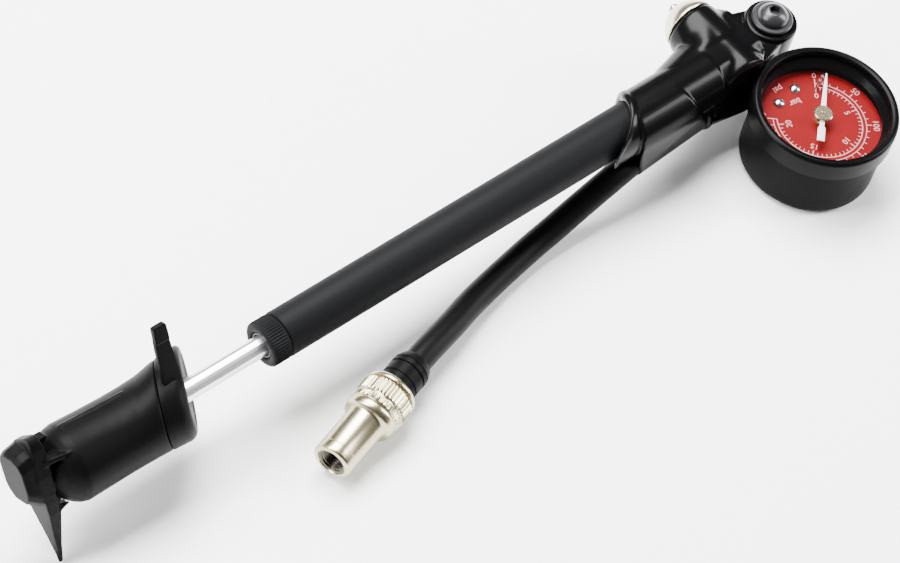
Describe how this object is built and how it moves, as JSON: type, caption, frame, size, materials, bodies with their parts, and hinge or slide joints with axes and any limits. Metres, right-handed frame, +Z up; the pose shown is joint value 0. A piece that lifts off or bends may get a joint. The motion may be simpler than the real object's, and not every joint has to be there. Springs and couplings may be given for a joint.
{
  "type": "shock suspension pump",
  "caption": "Small hand pump for suspension: slim barrel with T-handle plunger, moulded head with bleed valve, short hose with knurled connector, and a round dial gauge.",
  "frame": {"origin": "middle of the gauge's flat back, on the surface the pump lies on", "axes": "+Z up out of the gauge's dial, +X along the barrel from the handle to the head, +Y from the gauge to the barrel"},
  "size_m": [0.3094, 0.0807, 0.055],
  "materials": {
    "arm_screw": "machined",
    "arm_washer": "satin",
    "barrel": "satin",
    "barrel_end_cap": "satin",
    "barrel_o_ring": "matte",
    "bleed_button": "warm nickel",
    "bleed_seal": "matte",
    "bleed_spring": "machined",
    "bleed_valve_body": "warm nickel",
    "bourdon_tube": "machined",
    "check_valve_ball": "machined",
    "check_valve_seat": "machined",
    "check_valve_spring": "machined",
    "connector_collar": "warm nickel",
    "connector_core": "machined",
    "connector_nut": "warm nickel",
    "connector_seal": "matte",
    "depressor_pin": "machined",
    "dial_plate": "red",
    "dial_screw_1": "machined",
    "dial_screw_2": "machined",
    "gauge_arm": "gloss",
    "gauge_bezel": "gloss",
    "gauge_case": "satin",
    "gauge_lens": "clear",
    "gauge_needle": "off-white",
    "gauge_stem": "machined",
    "handle_collar": "satin",
    "handle_core": "satin",
    "handle_grip": "satin",
    "handle_palm": "satin",
    "handle_stud": "machined",
    "head_body": "gloss",
    "hose": "matte",
    "hose_ferrule": "satin",
    "hose_fitting": "machined",
    "movement_plate": "machined",
    "needle_bush": "machined",
    "needle_hub": "machined",
    "needle_spindle": "machined",
    "piston": "machined",
    "piston_screw": "machined",
    "piston_seal": "matte",
    "rod": "satin",
    "rod_bushing": "machined",
    "rod_wiper": "matte",
    "sector_gear": "machined",
    "sector_pivot": "machined",
    "stop_pin_1": "machined",
    "stop_pin_2": "machined"
  },
  "bodies": {
    "pump_body": {"arm_screw": "arm_screw", "arm_washer": "arm_washer", "barrel": "barrel", "barrel_end_cap": "barrel_end_cap", "barrel_o_ring": "barrel_o_ring", "bleed_seal": "bleed_seal", "bleed_spring": "bleed_spring", "bleed_valve_body": "bleed_valve_body", "bourdon_tube": "bourdon_tube", "check_valve_ball": "check_valve_ball", "check_valve_seat": "check_valve_seat", "check_valve_spring": "check_valve_spring", "connector_collar": "connector_collar", "connector_core": "connector_core", "connector_seal": "connector_seal", "depressor_pin": "depressor_pin", "dial_plate": "dial_plate", "dial_screw_1": "dial_screw_1", "dial_screw_2": "dial_screw_2", "gauge_arm": "gauge_arm", "gauge_bezel": "gauge_bezel", "gauge_case": "gauge_case", "gauge_lens": "gauge_lens", "gauge_stem": "gauge_stem", "head_body": "head_body", "hose": "hose", "hose_ferrule": "hose_ferrule", "hose_fitting": "hose_fitting", "movement_plate": "movement_plate", "needle_bush": "needle_bush", "rod_bushing": "rod_bushing", "rod_wiper": "rod_wiper", "sector_pivot": "sector_pivot", "stop_pin_1": "stop_pin_1", "stop_pin_2": "stop_pin_2"},
    "plunger_carrier": {"piston_seal": "piston_seal"},
    "plunger": {"rod": "rod", "piston": "piston", "piston_screw": "piston_screw", "handle_core": "handle_core", "handle_grip": "handle_grip", "handle_collar": "handle_collar", "handle_palm": "handle_palm", "handle_stud": "handle_stud"},
    "bleed_button": {"bleed_button": "bleed_button"},
    "needle": {"gauge_needle": "gauge_needle", "needle_hub": "needle_hub", "needle_spindle": "needle_spindle"},
    "sector": {"sector_gear": "sector_gear"},
    "connector_nut": {"connector_nut": "connector_nut"}
  },
  "joints": [
    {"name": "plunger_slide", "type": "slide", "parent": "pump_body", "child": "plunger_carrier", "axis": [1, 0, 0], "range_m": [-0.125, 0.016]},
    {"name": "handle_spin", "type": "hinge", "parent": "plunger_carrier", "child": "plunger", "pos_m": [-0.2, 0.0303, 0.026], "axis": [1, 0, 0], "continuous": true},
    {"name": "bleed_press", "type": "slide", "parent": "pump_body", "child": "bleed_button", "axis": [0, -1, 0], "range_m": [0, 0.002], "stiffness_N_per_m": 300, "deforming": ["bleed_spring"]},
    {"name": "needle_sweep", "type": "hinge", "parent": "pump_body", "child": "needle", "pos_m": [0, 0, 0.0229], "axis": [0, 0, 1], "range_deg": [-264, 0]},
    {"name": "sector_swing", "type": "hinge", "parent": "pump_body", "child": "sector", "pos_m": [-0.00125, -0.00891, 0.0148], "axis": [0, 0, 1], "range_deg": [-1, 38]},
    {"name": "connector_spin", "type": "hinge", "parent": "pump_body", "child": "connector_nut", "pos_m": [-0.2002, -0.0045, 0.0085], "axis": [0.9617, 0.274, 0], "continuous": true}
  ],
  "couplings": [
    {"joint": "sector_swing", "follows": "needle_sweep", "ratio": -0.14}
  ]
}
